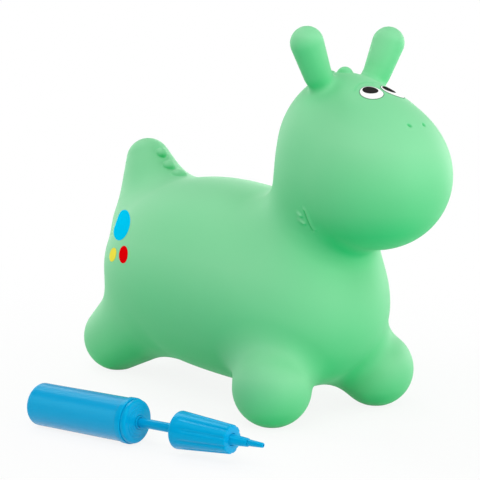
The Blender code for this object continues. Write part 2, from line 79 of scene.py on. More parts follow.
# Lines that the mould presses into the skin, in mm: the corner of the mouth, two raised beads
# behind it, the nostril, and the shallow rim over the eye.
MOUTH_CREASE = [(73.6, -209.7, 266.4), (72.5, -209.7, 263.7), (69.4, -209.4, 256.9),
                (64.8, -209.5, 248.8), (61.1, -210.6, 242.8)]
CHEEK_BEADS = [[(72.4, -197.8, 263), (71.4, -200.8, 260.4)],
               [(69.0, -195.5, 254.8), (67.0, -202, 251)]]
NOSTRIL = [(11.7, -318.7, 370.7), (10.9, -319.9, 369.8)]
EYE_RIM = [(29.5, -247, 407.5), (22.8, -241.9, 412.3), (16.3, -239.6, 415.3),
           (6.3, -240.5, 416.5), (0, -241.9, 416.3)]

# How deep and how wide each is, in mm. The cheek swells a little in front of the crease.
CREASE_DEPTH, CREASE_WIDTH = 2.0, 1.2
CHEEK_RISE, CHEEK_WIDTH, CHEEK_AWAY = 0.8, 2.6, 3.5
BEAD_RISE, BEAD_WIDTH = 2.2, 1.9
NOSTRIL_DEPTH, NOSTRIL_WIDTH = 3.2, 1.5
RIM_DEPTH, RIM_WIDTH = 0.4, 1.3

# How far round them, and round a knob, the mesh is made finer, in mm.
FINE_ROUND = ((MOUTH_CREASE, 9), (NOSTRIL, 6), (EYE_RIM, 3))
KNOB_MARGIN = 5

# Painted light and shade on the vinyl: the pale share by how far a face looks up, from -1 to 1,
# so upper faces are painted lit and lower faces painted shaded. Skin nearby takes some of it, by
# the room left at two distances in mm, which paints shade into hollows. None is left at the bare
# depth of a pressed line, in mm, a painted shade, and raised features have up to the most, a
# painted highlight.
PAINTED_LIGHT_FACING = (-0.75, -0.45, 0.05, 0.4)
PAINTED_LIGHT_SHARE = (0, 0.38, 0.73, 1)
PAINTED_SHADE_ROOM = (15, 45)
PAINTED_SHADE_TAKEN = 0.3
PAINTED_SHADE_BARE_DEPTH = 1.7
PAINTED_HIGHLIGHT_MOST = 1.8

# Printed eyes and flank spots, in the order of printing: piece, the node that it stands for,
# slot, ink, and its place, width, height and lift off the skin in mm, and turn in degrees.
# Lifts keep one ink over another. Egg is how much fuller the front end is than the rear one.
PRINTS = [
    ("eye_outline", None, "black_print", "eye line ink",
     dict(at=(16.7, -261.8, 406.1), width=29.2, height=31.9, turn=44, lift=0.15)),
    ("eye_print", "eye_white", "white_print", "white ink",
     dict(at=(16.7, -261.8, 406.1), width=27.4, height=30, turn=44, lift=0.35)),
    ("pupil_print", "pupil", "black_print", "black ink",
     dict(at=(14.9, -257.4, 408.4), width=18.9, height=17, turn=23, lift=0.55)),
    ("blue_spot_ink", "blue_spot", "blue_print", "blue ink",
     dict(at=(113, 138.2, 223.9), width=91.5, height=34.4, turn=14.6, lift=0.2, egg=0.3)),
    ("yellow_spot_ink", "yellow_spot", "yellow_print", "yellow ink",
     dict(at=(134, 118.5, 180.5), width=24.5, height=19, turn=-10, lift=0.2)),
    ("red_spot_ink", "red_spot", "red_print", "red ink",
     dict(at=(137.5, 86.5, 185), width=26.5, height=21, turn=36, lift=0.2)),
]
INK_COLOURS = {
    "white ink": "FAFBF9", "black ink": "2E2C2C", "blue ink": "00C8F4", "yellow ink": "F6E84C",
    "red ink": "E60008", "eye line ink": "5E8F72",
}
INK_THICKNESS = 0.08
PRINT_RINGS = 12

# The belly's air valve, in mm: its place along the body, the recess and the bore above it.
VALVE_Y = -10
RECESS_RADIUS, RECESS_DEPTH = 10.5, 1.8
BORE_RADIUS, BORE_DEPTH = 4.2, 20

# The pump along its own axis, in mm from the closed end of its barrel.
BARREL_END_CURVE = 6
ROD_START = 62
LIP_START = 140
CAP_BACK = 146.5
MOUTH = 148.5
CAP_FACE = 157.5
GRIP_START = 215
ROD_END = 249.3
CHAMBER_START = 265.5
GRIP_END = 289.5
NOZZLE_STEP = 311
NOZZLE_END = 331

# The pump's radii, and the gap between two of its pieces that fit into each other, in mm.
BARREL_RADIUS = 26
BARREL_BORE = 23.5
LIP_RADIUS = 27.2
CAP_RADIUS = 25.8
CAP_RINGS = (11, 14.5, 18)
BUSH_RADIUS = 8
ROD_RADIUS = 5.5
ROD_BORE = 2.4
GRIP_RADIUS = 22
GRIP_TIP_RADIUS = 16.4
CHAMBER_RADIUS = 7.2
AIR_BORE = 2.2
GAP = 0.3

# The grip's lengthwise grooves, in mm: they start some way from its big end and deepen over a
# length. Only what lies beyond the outside radius is grooved, not the bore.
GROOVES = 10
GROOVE_DEPTH = 1.2
GROOVE_START = 9
GROOVE_FADE = 8
GRIP_OUTSIDE = 13

# Soft lamps round the object: azimuth from +X, elevation, in degrees, and watts.
LAMPS = [(0, 5, 15), (45, 5, 12.8), (90, 50, 9), (90, 5, 7.6), (135, 5, 6.6), (180, 50, 8.6),
         (225, 50, 12), (270, 5, 16.4), (315, 50, 6), (315, 5, 7)]
# Where they aim, how far out they hang, how high at least, and their size, in metres.
LAMPS_AIM = Vector((0.05, -0.05, 0.2))
LAMPS_OUT = 2.2
LAMPS_LOWEST = 0.6
LAMPS_SIZE = 1.2
# The small lamp overhead draws the thin streak of light along the pump: place, size and watts.
STREAK_AT = Vector((-0.1, 0.5, 1.9))
STREAK_SIZE = 0.35
STREAK_WATTS = 2
# The world's own glow, from all round.
AIR = 0.24

# The camera, fitted to the photograph: place from the dinosaur's in mm, angles in degrees, lens.
CAMERA_OFF = Vector((-1132.876, -1466.889, 465.472)) * MM
CAMERA_DOWN = 8.08438
CAMERA_TURN = -37.46371
CAMERA_LENS = 105.146


# Small helpers for modelling by hand.

def deselect_all():
    bpy.ops.object.select_all(action="DESELECT")


def pick(*things):
    """Select these and make the first one active."""
    deselect_all()
    for thing in things:
        thing.select_set(True)
    bpy.context.view_layer.objects.active = things[0]


def active():
    return bpy.context.view_layer.objects.active


def apply_place(thing):
    pick(thing)
    bpy.ops.object.transform_apply(location=True, rotation=True, scale=True)


def edit(thing):
    """Enter edit mode with every point selected."""
    pick(thing)
    bpy.ops.object.mode_set(mode="EDIT")
    bpy.ops.mesh.select_mode(type="VERT")
    bpy.ops.mesh.select_all(action="SELECT")


def leave_edit():
    bpy.ops.object.mode_set(mode="OBJECT")


def finish_with(thing, kind, **settings):
    """Add a modifier with its settings, then apply it."""
    step = thing.modifiers.new(kind.lower(), kind)
    for name, value in settings.items():
        setattr(step, name, value)
    pick(thing)
    bpy.ops.object.modifier_apply(modifier=step.name)


def select_where(thing, kind, test):
    """In edit mode, select the points or faces whose place passes the test."""
    bpy.ops.mesh.select_mode(type="VERT" if kind == "verts" else "FACE")
    bpy.ops.mesh.select_all(action="DESELECT")
    bm = bmesh.from_edit_mesh(thing.data)
    for item in getattr(bm, kind):
        if test(item.co if kind == "verts" else item.calc_center_median()):
            item.select_set(True)
    bm.select_flush(True)
    bmesh.update_edit_mesh(thing.data)


def mesh_rows(thing, name="co"):
    """One row a point: its place, or its normal."""
    rows = np.empty(len(thing.data.vertices) * 3)
    thing.data.vertices.foreach_get(name, rows)
    return rows.reshape(-1, 3)


def move_points(thing, rows):
    thing.data.vertices.foreach_set("co", rows.ravel())
    thing.data.update()


def smooth_under(thing, degrees):
    """Shade smooth, apart from edges sharper than the angle."""
    pick(thing)
    bpy.ops.object.shade_smooth_by_angle(angle=math.radians(degrees))


# Materials.

def colour(code):
    """Linear colour of a hex sRGB code."""
    values = [int(code[i:i + 2], 16) / 255 for i in (0, 2, 4)]
    linear = [v / 12.92 if v <= 0.04045 else ((v + 0.055) / 1.055) ** 2.4 for v in values]
    return linear + [1.0]


def set_values(node, **settings):
    """Set a node's properties and sockets by name, with _ for each space in a socket's name."""
    for name, value in settings.items():
        if hasattr(node, name) and name not in node.inputs:
            setattr(node, name, value)
        else:
            node.inputs[name.replace("_", " ")].default_value = value


def add(tree, kind, links=(), **settings):
    """A node with its settings. Each link is (socket to fill, node or output that fills it)."""
    node = tree.nodes.new(kind)
    set_values(node, **settings)
    for socket, source in links:
        output = source if isinstance(source, bpy.types.NodeSocket) else source.outputs[0]
        tree.links.new(output, node.inputs[socket])
    return node


def new_material(name):
    finish = bpy.data.materials.new(name)
    finish.use_nodes = True
    tree = finish.node_tree
    return finish, tree, tree.nodes["Principled BSDF"]


def fine_relief(tree, shader, noise, strength, height, roughness=None):
    """Let a noise raise the surface, by a height in mm, and vary its roughness in a range."""
    bump = add(tree, "ShaderNodeBump", [("Height", noise.outputs["Fac"])],
               Strength=strength, Distance=height * MM)
    tree.links.new(bump.outputs["Normal"], shader.inputs["Normal"])
    if roughness:
        low, high = roughness
        dull = add(tree, "ShaderNodeMapRange", [("Value", noise.outputs["Fac"])],
                   To_Min=low, To_Max=high)
        tree.links.new(dull.outputs["Result"], shader.inputs["Roughness"])


def soft_moulded_vinyl():
    """Rotomoulded soft PVC: matte with a fine grain, and painted light and shade in its green: pale
    where light is painted, deep where shade is painted.
    """
    finish, tree, shader = new_material("soft moulded vinyl")
    place = add(tree, "ShaderNodeTexCoord").outputs["Object"]
    # The painted light and shade vary at random in clouds of about 110 mm.
    cloud = add(tree, "ShaderNodeTexNoise", [("Vector", place)], Scale=9.0, Detail=2.0)
    uneven = add(tree, "ShaderNodeMapRange", [("Value", cloud.outputs["Fac"])],
                 To_Min=-0.04, To_Max=0.04)
    painted_light = add(tree, "ShaderNodeAttribute", attribute_name="painted_light").outputs["Fac"]
    amount = add(tree, "ShaderNodeMath", [(0, painted_light), (1, uneven)], operation="ADD")
    # Painted shade is the deep green, painted light the pale green.
    lit_and_shaded_green = add(tree, "ShaderNodeMix", [("Factor", amount)], data_type="RGBA",
               A=colour("00C46C"), B=colour("80D79C"))
    tree.links.new(lit_and_shaded_green.outputs["Result"], shader.inputs["Base Color"])
    # Mould grain is about 0.6 mm across. It is drawn at 1.4 mm so that it shows at all.
    grain = add(tree, "ShaderNodeTexNoise", [("Vector", place)], Scale=700.0, Detail=2.0)
    fine_relief(tree, shader, grain, 0.12, 0.2, (0.50, 0.60))
    set_values(shader, IOR=1.5, Specular_IOR_Level=0.3, Sheen_Weight=0.1, Sheen_Roughness=0.6)
    return finish


def printed_ink(name, code):
    """Screen-printed vinyl ink: a flat, even colour without a shine of its own."""
    finish, tree, shader = new_material(name)
    place = add(tree, "ShaderNodeTexCoord").outputs["Object"]
    # The screen drags the ink a little, in marks of about 4 mm.
    drag = add(tree, "ShaderNodeTexNoise", [("Vector", place)], Scale=260.0, Detail=3.0)
    fine_relief(tree, shader, drag, 0.08, 0.1, (0.40, 0.52))
    set_values(shader, Base_Color=colour(code), Specular_IOR_Level=0.0)
    return finish


def gloss_polypropylene():
    """Injection-moulded polypropylene: a clean gloss with the faint waves of moulded tubes."""
    finish, tree, shader = new_material("gloss polypropylene")
    place = add(tree, "ShaderNodeTexCoord").outputs["Object"]
    # The waves are about 22 mm long.
    flow = add(tree, "ShaderNodeTexNoise", [("Vector", place)], Scale=45.0, Detail=1.0)
    fine_relief(tree, shader, flow, 0.03, 0.4, (0.22, 0.28))
    # The dye is so strong that even the shine is tinted.
    set_values(shader, Base_Color=colour("00A6DE"), IOR=1.49, Specular_Tint=colour("48FFE4"),
               Specular_IOR_Level=0.4)
    return finish


def plain_moulded(name, code, roughness):
    """Small hidden mouldings, the white stopper and the black seals: dull, with a fine skin."""
    finish, tree, shader = new_material(name)
    place = add(tree, "ShaderNodeTexCoord").outputs["Object"]
    # The skin's grain is about 2.5 mm.
    grain = add(tree, "ShaderNodeTexNoise", [("Vector", place)], Scale=400.0, Detail=2.0)
    fine_relief(tree, shader, grain, 0.1, 0.2)
    set_values(shader, Base_Color=colour(code), Roughness=roughness)
    return finish


def wear(thing, finish):
    """Give a piece its material, all over."""
    thing.data.materials.clear()
    thing.data.materials.append(finish)
    for face in thing.data.polygons:
        face.material_index = 0


# The skin as one distance field: every mass swells into its neighbours, as a blown moulding does.

def blob_distance(points, centre, radii, tilt):
    offset = points - np.array(centre) * MM
    turn = math.radians(tilt)
    along = offset[:, 1] * math.cos(turn) + offset[:, 2] * math.sin(turn)
    up = offset[:, 2] * math.cos(turn) - offset[:, 1] * math.sin(turn)
    local = np.stack([offset[:, 0], along, up], axis=1)
    radii = np.array(radii) * MM
    reach = np.linalg.norm(local / radii, axis=1)
    slope = np.linalg.norm(local / radii ** 2, axis=1)
    return reach * (reach - 1) / np.maximum(slope, 1e-9)


def limb_distance(points, start, start_radius, end, end_radius):
    """Distance to a round cone, a ball at each end and a straight taper between."""
    start, end = np.array(start) * MM, np.array(end) * MM
    first, last = start_radius * MM, end_radius * MM
    axis = end - start
    length = float(np.linalg.norm(axis))
    axis = axis / length
    along = (points - start) @ axis
    out = np.linalg.norm(points - start - along[:, None] * axis, axis=1)
    lean = (first - last) / length
    nearest = np.clip((along - out * lean / math.sqrt(1 - lean * lean)) / length, 0, 1)
    return np.hypot(along - nearest * length, out) - first - (last - first) * nearest


def soft_union(first, second, fillet):
    fillet = fillet * MM
    near = np.maximum(fillet - np.abs(first - second), 0) / fillet
    return np.minimum(first, second) - near * near * fillet / 4


def both_sides(centre):
    """A mass on the middle plane stands alone; any other has a twin across it."""
    return (1, -1) if centre[0] else (1,)


def mirrored(point, side):
    return (point[0] * side, point[1], point[2])


def blend_blob(body, points, blob, fillet):
    centre, radii, tilt = blob
    for side in both_sides(centre):
        reach = blob_distance(points, mirrored(centre, side), radii, tilt)
        body = soft_union(body, reach, FILLETS[fillet])
    return body


def blend_limb(body, points, limb, fillet):
    start, start_radius, end, end_radius = limb
    for side in both_sides(end):
        reach = limb_distance(points, mirrored(start, side), start_radius,
                              mirrored(end, side), end_radius)
        body = soft_union(body, reach, FILLETS[fillet])
    return body


def skin_distance(points):
    """How far points, measured from the dinosaur's own origin, lie outside the skin."""
    body = blob_distance(points, *BLOBS["rump"])
    body = blend_blob(body, points, BLOBS["chest"], "waist")
    body = blend_limb(body, points, LIMBS["neck"], "neck")
    head = blob_distance(points, *BLOBS["cranium"])
    head = blend_blob(head, points, BLOBS["muzzle"], "face")
    head = blend_blob(head, points, BLOBS["eye_mound"], "eye")
    body = soft_union(body, head, FILLETS["jaw"])
    for limb, fillet in (("fore_leg", "leg"), ("hind_leg", "leg"), ("tail", "tail"),
                         ("horn", "horn")):
        body = blend_limb(body, points, LIMBS[limb], fillet)
    for knob in KNOBS:
        body = blend_blob(body, points, knob, "knob")
    return body


def line_distance(points, line):
    """Distance from points to a line through a few places in mm, the same on both sides."""
    points = np.column_stack([np.abs(points[:, 0]), points[:, 1:]])
    best = np.full(len(points), 1.0)
    for start, end in zip(line, line[1:]):
        start, end = np.array(start) * MM, np.array(end) * MM
        span = end - start
        part = np.clip((points - start) @ span / (span @ span), 0, 1)
        away = np.linalg.norm(points - start - part[:, None] * span, axis=1)
        best = np.minimum(best, away)
    return best


def bell(reach, width):
    return np.exp(-(reach / (width * MM)) ** 2)


def pressed_depth(points):
    """How deep the mould's small features lie at each point. Raised ones are negative."""
    crease = line_distance(points, MOUTH_CREASE)
    levels = [place[2] * MM for place in reversed(MOUTH_CREASE)]
    front_of = [place[1] * MM for place in reversed(MOUTH_CREASE)]
    ahead = points[:, 1] < np.interp(points[:, 2], levels, front_of)
    on_muzzle = ahead & (points[:, 2] > levels[0])
    cheek = bell(crease - CHEEK_AWAY * MM, CHEEK_WIDTH)
    depth = CREASE_DEPTH * MM * bell(crease, CREASE_WIDTH)
    depth -= CHEEK_RISE * MM * np.where(on_muzzle, cheek, 0)
    for bead in CHEEK_BEADS:
        depth -= BEAD_RISE * MM * bell(line_distance(points, bead), BEAD_WIDTH)
    depth += NOSTRIL_DEPTH * MM * bell(line_distance(points, NOSTRIL), NOSTRIL_WIDTH)
    depth += RIM_DEPTH * MM * bell(line_distance(points, EYE_RIM), RIM_WIDTH)
    return depth


def skin_slope(points):
    """The way out at each point, from the field a short step to each side."""
    step = 0.2 * MM
    slope = np.zeros_like(points)
    for axis in range(3):
        shift = np.zeros(3)
        shift[axis] = step
        rise = skin_distance(points + shift) - skin_distance(points - shift)
        slope[:, axis] = rise / (2 * step)
    return slope


def settle(points, rounds=3, depth=0.0):
    """Move points onto the skin, or depth below it."""
    for _ in range(rounds):
        slope = skin_slope(points)
        reach = np.maximum((slope ** 2).sum(axis=1), 0.2)
        points = points - slope * ((skin_distance(points) + depth) / reach)[:, None]
    return points


def on_skin(point):
    """The nearest point of the skin, and the way out there."""
    rows = settle(np.array([point], dtype=float), rounds=8)
    return Vector(rows[0]), Vector(skin_slope(rows)[0]).normalized()


def add_ball(centre, radii, tilt=0.0):
    bpy.ops.mesh.primitive_uv_sphere_add(
        segments=48, ring_count=24, radius=1, location=Vector(centre) * MM,
        rotation=(math.radians(tilt), 0, 0), scale=Vector(radii) * MM)
    return active()


def add_masses():
    """Every mass as a ball, and every limb as a row of balls, joined into one object."""
    balls = []
    for centre, radii, tilt in list(BLOBS.values()) + KNOBS:
        for side in both_sides(centre):
            balls.append(add_ball(mirrored(centre, side), radii, tilt))
    for start, start_radius, end, end_radius in LIMBS.values():
        for side in both_sides(end):
            for part in np.linspace(0, 1, 7):
                centre = Vector(start).lerp(Vector(end), part)
                radius = start_radius + (end_radius - start_radius) * part
                balls.append(add_ball(mirrored(centre, side), (radius, radius, radius)))
    pick(*balls)
    bpy.ops.object.join()
    body = active()
    apply_place(body)
    return body


def run_together(body, voxel):
    """Voxel remesh, ease the steps out, and bring the points back onto the fair surface."""
    finish_with(body, "REMESH", mode="VOXEL", voxel_size=voxel)
    edit(body)
    bpy.ops.mesh.vertices_smooth(factor=0.5, repeat=3)
    leave_edit()
    move_points(body, settle(mesh_rows(body)))


def near_small_feature(place):
    spot = np.array([place], dtype=float)
    for line, reach in FINE_ROUND:
        if line_distance(spot, line)[0] < reach * MM:
            return True
    for centre, radii, _ in KNOBS:
        if (place - Vector(centre) * MM).length < (max(radii) + KNOB_MARGIN) * MM:
            return True
    return False


def model_skin():
    """The skin: masses run together, one half of it pressed, mirrored, and cut at the soles."""
    body = add_masses()
    body.name = "green_skin"
    run_together(body, FIRST_MESH * MM)
    run_together(body, SECOND_MESH * MM)

    edit(body)
    bpy.ops.mesh.bisect(plane_co=(0, 0, 0), plane_no=(1, 0, 0), clear_inner=True,
                        threshold=0.6 * MM)
    # The faces of small features are divided, so that their edges come out crisp.
    select_where(body, "faces", near_small_feature)
    bpy.ops.mesh.subdivide(number_cuts=2)
    leave_edit()
    rows = settle(mesh_rows(body))
    rows = settle(rows, rounds=2, depth=pressed_depth(rows))
    rows[mesh_rows(body)[:, 0] < MIDDLE_SNAP * MM, 0] = 0
    move_points(body, rows)
    finish_with(body, "MIRROR", use_clip=True, merge_threshold=0.2 * MM)

    # The soles: everything under the floor goes, and the four cuts are closed flat.
    edit(body)
    bpy.ops.mesh.bisect(plane_co=(0, 0, 0), plane_no=(0, 0, 1), clear_inner=True, use_fill=True)
    bpy.ops.mesh.select_all(action="SELECT")
    bpy.ops.mesh.normals_make_consistent(inside=False)
    leave_edit()
    smooth_under(body, 60)
    return body


def paint_light_and_shade(skin):
    """Painted light and shade for the skin, one value a point: full painted light on open upper
    faces, painted shade on lower faces, in hollows and in pressed lines.
    """
    normals, points = mesh_rows(skin, "normal"), mesh_rows(skin)
    # Painted light from above: the more a face looks up, the paler it is painted.
    painted_light = np.interp(normals[:, 2], PAINTED_LIGHT_FACING, PAINTED_LIGHT_SHARE)
    # Painted shade in hollows, where little room is left in front of a face.
    for reach in PAINTED_SHADE_ROOM:
        reach = reach * MM
        room = np.clip(skin_distance(points + normals * reach) / reach, 0, 1)
        painted_light *= 1 - PAINTED_SHADE_TAKEN + PAINTED_SHADE_TAKEN * room
    # Painted shade in pressed lines, and a painted highlight on raised beads.
    painted_light *= np.clip(1 - pressed_depth(points) / (PAINTED_SHADE_BARE_DEPTH * MM), 0, PAINTED_HIGHLIGHT_MOST)
    value = skin.data.attributes.new("painted_light", "FLOAT", "POINT")
    value.data.foreach_set("value", np.clip(painted_light, 0, 1).astype(np.float32))


def print_oval(name, skin, side, at, width, height, turn, lift, egg=0.0):
    """An oval disc of rings, laid over the skin along its own upright."""
    point, out = on_skin(Vector((at[0] * side, at[1], at[2])) * MM)
    guide = Vector((0, 1, 0)) if out.z > abs(out.x) else Vector((0, 0, 1))
    sideways = guide.cross(out).normalized()
    upward = out.cross(sideways)
    facing = Matrix((sideways, upward, out)).transposed().to_4x4()
    lean = Matrix.Rotation(math.radians(turn * side), 4, "Z")
    bpy.ops.mesh.primitive_circle_add(vertices=96, radius=1)
    oval = active()
    oval.name = name
    edit(oval)
    for ring in range(PRINT_RINGS - 1, 0, -1):
        bpy.ops.mesh.extrude_edges_move()
        bpy.ops.transform.resize(value=(ring / (ring + 1),) * 3, center_override=(0, 0, 0))
    bpy.ops.mesh.extrude_edges_move()
    bpy.ops.mesh.merge(type="CENTER")
    bpy.ops.mesh.select_all(action="SELECT")
    bpy.ops.mesh.normals_make_consistent(inside=False)
    leave_edit()
    rows = mesh_rows(oval)
    rows[:, 1] *= 1 - egg * side * rows[:, 0]
    move_points(oval, rows)
    size = Matrix.Diagonal((width / 2 * MM, height / 2 * MM, 1, 1))
    oval.matrix_world = Matrix.Translation(point) @ facing @ lean @ size
    finish_with(oval, "SHRINKWRAP", target=skin, wrap_method="PROJECT", wrap_mode="ON_SURFACE",
                use_project_z=True, use_positive_direction=True, use_negative_direction=True)
    apply_place(oval)
    move_points(oval, settle(mesh_rows(oval), depth=-lift * MM))
    return oval


def thicken_ink(oval):
    """Give a laid print its thickness, half of it to each side."""
    finish_with(oval, "SOLIDIFY", thickness=INK_THICKNESS * MM, offset=0)
    edit(oval)
    bpy.ops.mesh.normals_make_consistent(inside=False)
    leave_edit()
    smooth_under(oval, 60)


# Turned pieces.

def turned(name, rings, place, bevel, segments=96, loop=False):
    """A turned piece about Z, drawn ring by ring: each is extruded from the last, then sized.

    Rings are (radius, height) in mm, as is the bevel of the sharp edges. A loop closes on its
    first ring; otherwise both ends are filled flat.
    """
    rings = list(rings) + ([rings[0]] if loop else [])
    radius, height = rings[0]
    bpy.ops.mesh.primitive_circle_add(vertices=segments, radius=radius * MM,
                                      location=(0, 0, height * MM))
    piece = active()
    piece.name = name
    apply_place(piece)
    edit(piece)
    if not loop:
        bpy.ops.mesh.edge_face_add()
        bpy.ops.mesh.inset(thickness=radius * 0.5 * MM)
        select_where(piece, "verts", lambda co: math.hypot(co.x, co.y) > radius * 0.99 * MM)
    for (old, low), (radius, height) in zip(rings, rings[1:]):
        rise = (0, 0, (height - low) * MM)
        bpy.ops.mesh.extrude_edges_move(TRANSFORM_OT_translate={"value": rise})
        bpy.ops.transform.resize(value=(radius / old, radius / old, 1),
                                 center_override=(0, 0, height * MM))
    if not loop:
        bpy.ops.mesh.edge_face_add()
        bpy.ops.mesh.inset(thickness=radius * 0.5 * MM)
    bpy.ops.mesh.select_all(action="SELECT")
    bpy.ops.mesh.remove_doubles(threshold=0.002 * MM)
    bpy.ops.mesh.normals_make_consistent(inside=False)
    leave_edit()
    if bevel:
        finish_with(piece, "BEVEL", width=bevel * MM, segments=3, limit_method="ANGLE",
                    angle_limit=math.radians(28), use_clamp_overlap=True)
    piece.matrix_world = place
    apply_place(piece)
    smooth_under(piece, 35)
    return piece


def arc(radius, height, size, start, end, steps=6):
    """Rings of a rounded corner, in mm, centred at radius and height, between two angles."""
    angles = [math.radians(start + (end - start) * i / steps) for i in range(steps + 1)]
    return [(radius + size * math.cos(a), height + size * math.sin(a)) for a in angles]


def pump_frame():
    """The pump's axis: it lies on its lip and its closed end, so the mouth is a little higher."""
    rise = math.asin((LIP_RADIUS - BARREL_RADIUS) / (LIP_START - BARREL_END_CURVE))
    lay_down = Matrix.Rotation(math.radians(90) - rise, 4, "Y")
    height = (BARREL_RADIUS * math.cos(rise) - BARREL_END_CURVE * math.sin(rise)) * MM
    at = Vector((PUMP_AT.x, PUMP_AT.y, height))
    return Matrix.Translation(at) @ Matrix.Rotation(PUMP_HEADING, 4, "Z") @ lay_down


def model_barrel(place):
    """A tube closed at the rear with a rounded end, and a raised ring round its mouth."""
    floor, edge, curve = 3, 0.8, BARREL_END_CURVE
    rings = [(BARREL_BORE - floor, floor), (BARREL_BORE, 2 * floor), (BARREL_BORE, MOUTH),
             (LIP_RADIUS - edge, MOUTH), (LIP_RADIUS, MOUTH - edge),
             (LIP_RADIUS, LIP_START + edge), (LIP_RADIUS - 0.5, LIP_START),
             (BARREL_RADIUS, LIP_START)]
    rings += arc(BARREL_RADIUS - curve, curve, curve, 0, -80)
    return turned("barrel", rings, place, bevel=0.3)


def model_end_cap(place):
    """A plug with a rounded rim and stepped rings on its face."""
    step, edge, bore = 0.8, 3.5, BUSH_RADIUS + GAP
    rings = [(bore, CAP_FACE)]
    for count, radius in enumerate(CAP_RINGS):
        level = CAP_FACE - count * step
        rings += [(radius, level), (radius + 0.5, level - step)]
    rings += arc(CAP_RADIUS - edge, CAP_FACE - len(CAP_RINGS) * step - edge, edge, 90, 0)
    shoulder, rear = MOUTH + GAP, MOUTH - 14
    plug = BARREL_BORE - GAP
    hollow = plug - 2.5
    rings += [(CAP_RADIUS, shoulder), (plug, shoulder), (plug, rear), (hollow, rear),
              (hollow, CAP_BACK), (bore, CAP_BACK)]
    return turned("end_cap", rings, place, bevel=0.35, loop=True)


def model_bush(place):
    """The flanged bush that guides the rod through the cap."""
    bore, flange, edge = ROD_RADIUS + GAP, BUSH_RADIUS + 2, 0.8
    top, back = CAP_FACE + 1.2, CAP_BACK - GAP
    rings = [(bore, top), (BUSH_RADIUS - edge, top), (BUSH_RADIUS, top - edge),
             (BUSH_RADIUS, back), (flange, back), (flange, back - 1.8), (bore, back - 1.8)]
    return turned("guide_bush", rings, place, bevel=0.25, segments=64, loop=True)


def model_rod(place):
    """A plain tube with a chamfer on the end inside the grip."""
    end, chamfer = ROD_END - GAP, 0.6
    rings = [(ROD_BORE, end), (ROD_RADIUS - chamfer, end), (ROD_RADIUS, end - chamfer),
             (ROD_RADIUS, ROD_START), (ROD_BORE, ROD_START)]
    return turned("rod", rings, place, bevel=0.2, segments=64, loop=True)


def model_grip(place):
    """A hollow cone to hold, with shallow lengthwise grooves that fade out before its big end."""
    tip_edge, big_edge, steps = 1.5, 2.5, 16
    tip, big = GRIP_END - tip_edge, GRIP_START + big_edge
    spread = GRIP_RADIUS - GRIP_TIP_RADIUS
    rings = [(CHAMBER_RADIUS, GRIP_END)]
    rings += arc(GRIP_TIP_RADIUS - tip_edge, tip, tip_edge, 90, 0, 3)
    for step in range(1, steps):
        part = step / steps
        rings.append((GRIP_TIP_RADIUS + spread * part, tip + (big - tip) * part))
    rings += arc(GRIP_RADIUS - big_edge, big, big_edge, 0, -90)
    socket = ROD_RADIUS + GAP
    rings += [(socket, GRIP_START), (socket, ROD_END), (AIR_BORE, ROD_END),
              (AIR_BORE, CHAMBER_START), (CHAMBER_RADIUS, CHAMBER_START)]
    grip = turned("grip", rings, Matrix.Identity(4), bevel=0, segments=160, loop=True)

    rows = mesh_rows(grip)
    radius = np.hypot(rows[:, 0], rows[:, 1])
    angle = np.arctan2(rows[:, 1], rows[:, 0])
    fade = np.clip((rows[:, 2] - (GRIP_START + GROOVE_START) * MM) / (GROOVE_FADE * MM), 0, 1)
    fade = fade * fade * (3 - 2 * fade) * (radius > GRIP_OUTSIDE * MM)
    groove = (0.5 + 0.5 * np.cos(GROOVES * angle)) ** 5
    hollow = GROOVE_DEPTH * MM * fade * groove
    rows[:, :2] *= (1 - hollow / np.maximum(radius, MM))[:, None]
    move_points(grip, rows)
    finish_with(grip, "BEVEL", width=0.4 * MM, segments=3, limit_method="ANGLE",
                angle_limit=math.radians(40))
    grip.matrix_world = place
    apply_place(grip)
    smooth_under(grip, 30)
    return grip


def model_nozzle(place):
    """The stepped nozzle: a base plugged into the grip's chamber, and a tip plugged into it."""
    bore, plug = 3.3, CHAMBER_RADIUS - GAP
    seat, rear = NOZZLE_STEP - 9, CHAMBER_START + 4.5
    rings = [(bore, NOZZLE_STEP), (4.4, NOZZLE_STEP), (4.8, NOZZLE_STEP - 0.5),
             (6.4, GRIP_END + 0.4), (plug, GRIP_END - 0.4), (plug, rear), (AIR_BORE, rear),
             (AIR_BORE, seat), (bore, seat)]
    base = turned("nozzle_socket", rings, place, bevel=0.3, segments=64, loop=True)

    hole, stem, foot = 1.2, bore - GAP, NOZZLE_STEP + GAP
    rings = [(hole, NOZZLE_END)] + arc(1.8, NOZZLE_END - 1, 1, 90, 0, 4)
    rings += [(3.9, foot), (stem, foot), (stem, seat + GAP), (hole, seat + GAP)]
    tip = turned("nozzle_point", rings, place, bevel=0.25, segments=64, loop=True)
    return base, tip


def model_stopper(belly):
    """The belly stopper: a round head with a softened edge and two barbs on its stem."""
    stem, barbed, wide, chamfer = 3.4, 3.9, 9.5, 0.6
    seat = belly + 1.5
    head, tip = seat - 2.2, seat + 13
    rings = [(2.2, tip), (2.9, tip - 1)]
    for barb in (tip - 3.5, tip - 8):
        rings += [(stem, barb + 1.2), (barbed, barb), (stem, barb - 0.4)]
    rings += [(stem, seat), (wide - chamfer, seat), (wide, seat - chamfer)]
    rings += arc(wide - 1, head + 1, 1, 0, -90, 4) + [(3, head), (2.4, head + chamfer)]
    place = Matrix.Translation(DINO_AT + Vector((0, VALVE_Y, 0)) * MM)
    return turned("stopper", rings, place, bevel=0.2, segments=64)


